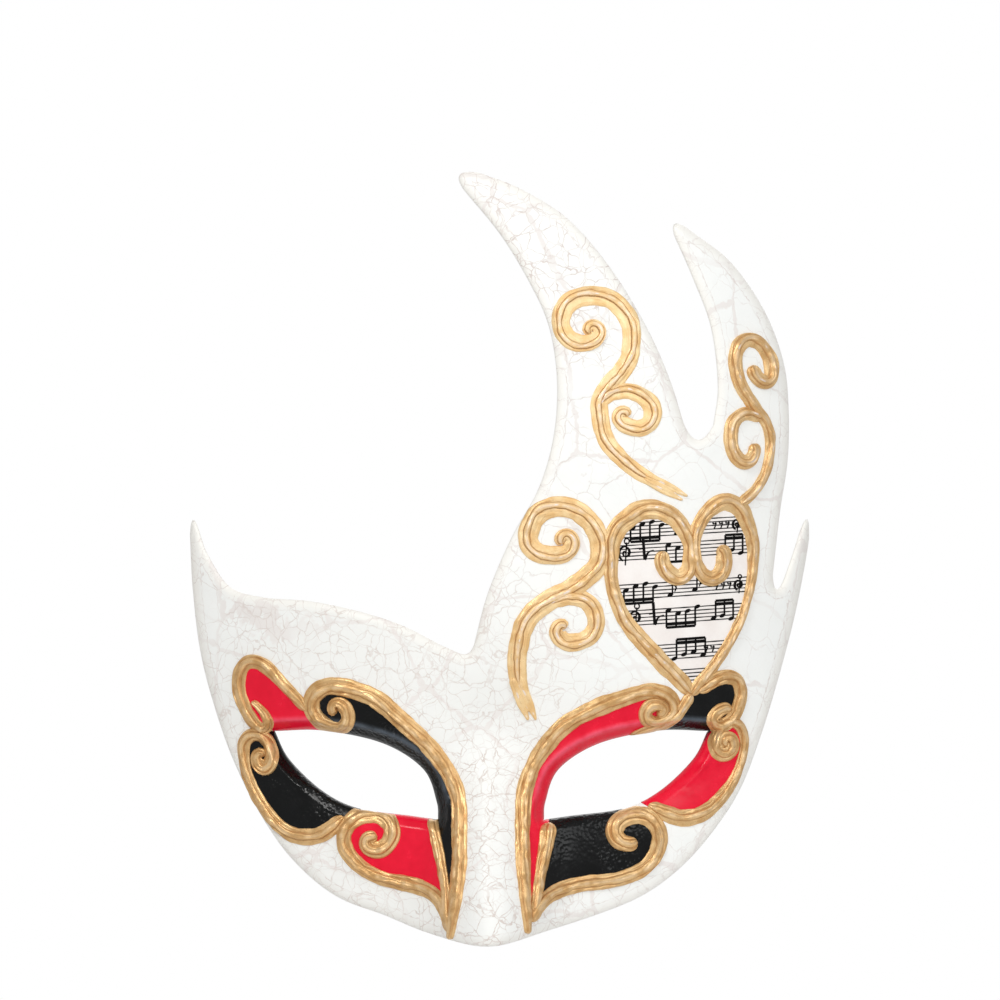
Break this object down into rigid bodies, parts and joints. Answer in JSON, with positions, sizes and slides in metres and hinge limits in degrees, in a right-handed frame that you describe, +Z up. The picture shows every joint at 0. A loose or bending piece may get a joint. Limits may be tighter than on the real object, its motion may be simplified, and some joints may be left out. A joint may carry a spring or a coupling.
{
  "type": "venetian masquerade mask",
  "caption": "Curved papier-mache half mask with eye holes, a flame-shaped crest on one side, raised gilt scrolls, painted eye panels and a music-paper heart; worn over the eyes and nose.",
  "frame": {"origin": "inner face of the nose bridge, on the mid-plane, level with the middle of the eye holes", "axes": "+Z up towards the crest, +X to a viewer's right, the painted face looks along -Y and the wearer is on the +Y side"},
  "size_m": [0.1885, 0.072, 0.227],
  "materials": {
    "crackle_lacquer": "off-white crackled lacquer over papier-mache, satin gloss",
    "music_paper": "printed paper pasted down and varnished",
    "red_paint": "glossy red acrylic paint film",
    "black_paint": "glossy black acrylic paint film over a slightly pebbled ground",
    "gilt_paint": "raised gilding paste with a soft metallic sheen",
    "patch_card": "bare glued card"
  },
  "bodies": {
    "root": {"shell": "crackle_lacquer", "music_heart": "music_paper", "red_left_corner": "red_paint", "red_left_nose": "red_paint", "red_right_brow": "red_paint", "red_right_cheek": "red_paint", "black_left_brow": "black_paint", "black_left_cheek": "black_paint", "black_right_corner": "black_paint", "black_right_nose": "black_paint", "gilt_heart_left": "gilt_paint", "gilt_heart_right": "gilt_paint", "gilt_brow_scroll": "gilt_paint", "gilt_brow_curl": "gilt_paint", "gilt_tall_flame_scroll": "gilt_paint", "gilt_tall_flame_curl": "gilt_paint", "gilt_second_flame_scroll": "gilt_paint", "gilt_second_flame_curl": "gilt_paint", "gilt_heart_tail": "gilt_paint", "gilt_right_brow": "gilt_paint", "gilt_right_corner": "gilt_paint", "gilt_right_cheek": "gilt_paint", "gilt_right_nose_scroll": "gilt_paint", "gilt_right_inner": "gilt_paint", "gilt_left_brow": "gilt_paint", "gilt_left_corner": "gilt_paint", "gilt_left_cheek": "gilt_paint", "gilt_left_nose_scroll": "gilt_paint", "gilt_left_inner": "gilt_paint", "ribbon_patch_left": "patch_card", "ribbon_patch_right": "patch_card"}
  },
  "joints": []
}
